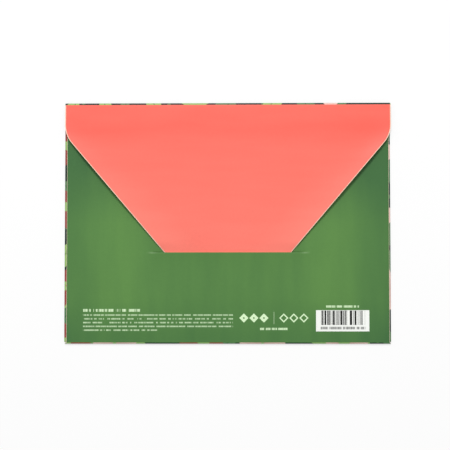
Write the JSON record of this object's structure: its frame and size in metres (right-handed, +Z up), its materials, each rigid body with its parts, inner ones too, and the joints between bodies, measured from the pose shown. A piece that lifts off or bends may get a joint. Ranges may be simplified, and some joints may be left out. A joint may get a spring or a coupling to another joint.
{
  "type": "gift envelope",
  "caption": "Folded card gift envelope, lying on its front face, its closing flap tucked into a slit in the back panel.",
  "frame": {"origin": "centre of the envelope's box, on the surface that it lies on", "axes": "+X across the back to the right, +Y towards the top fold, +Z up out of the back"},
  "size_m": [0.15, 0.111, 0.0021],
  "materials": {
    "printed_card": "satin printed card, green back, coral flap, white uncoated inside"
  },
  "bodies": {
    "root": {"folded_card": "printed_card"}
  },
  "joints": []
}
